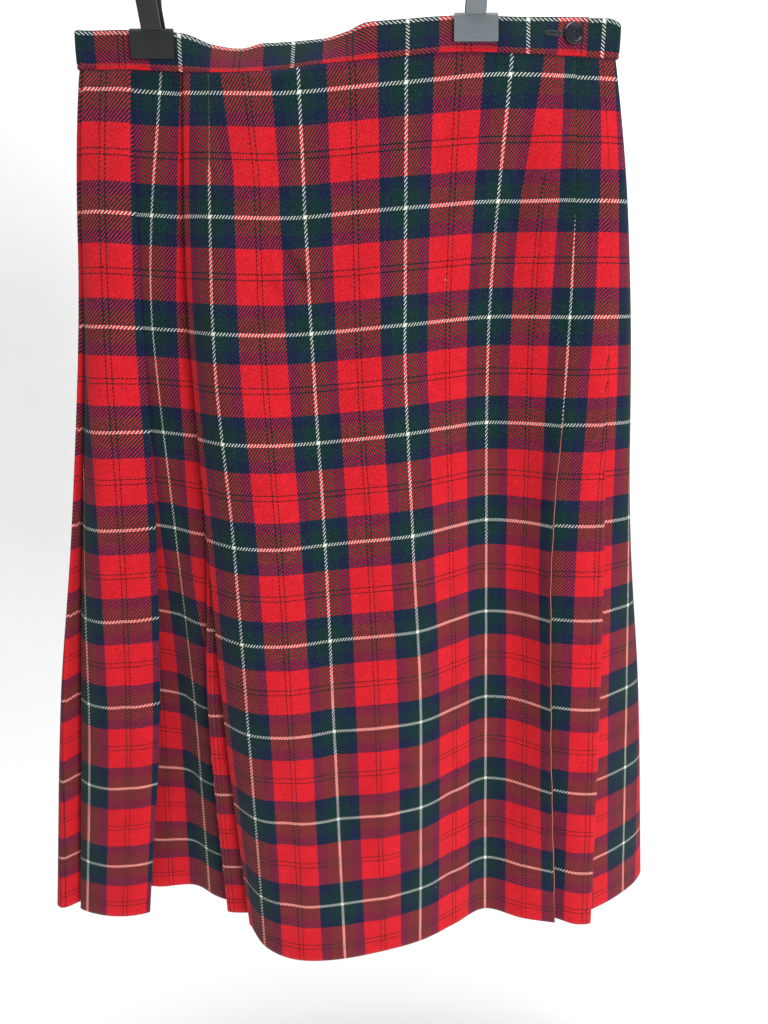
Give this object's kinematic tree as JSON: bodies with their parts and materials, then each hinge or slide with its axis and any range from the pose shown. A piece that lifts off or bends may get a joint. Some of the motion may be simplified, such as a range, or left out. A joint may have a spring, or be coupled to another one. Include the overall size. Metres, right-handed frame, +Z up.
{
  "type": "tartan wrap skirt on clip hanger",
  "caption": "Knee-length tartan wrap skirt with a flat front apron and knife pleats, hanging open from a clip hanger.",
  "frame": {"origin": "the point inside the top of the hanger's hook that bears on a rail", "axes": "+Z up along the hanging skirt, +X to the right seen from the front, -Y towards the viewer of the front"},
  "size_m": [0.6331, 0.1993, 0.9582],
  "materials": {
    "tartan": "brushed twill in red, navy and green with white lines",
    "button": "dark polished four-hole button",
    "steel": "polished wire",
    "clip": "black moulded clip with a soft sheen"
  },
  "bodies": {
    "root": {"waistband_over": "tartan", "waistband_under": "tartan", "over_apron": "tartan", "under_apron": "tartan", "pleats_left": "tartan", "side_right": "tartan", "pleats_back": "tartan", "button": "button", "hanger_bar": "steel", "hanger_hook": "steel", "clip_left_front": "clip", "clip_left_back": "clip", "clip_left_spring": "steel", "clip_right_front": "clip", "clip_right_back": "clip", "clip_right_spring": "steel"}
  },
  "joints": []
}
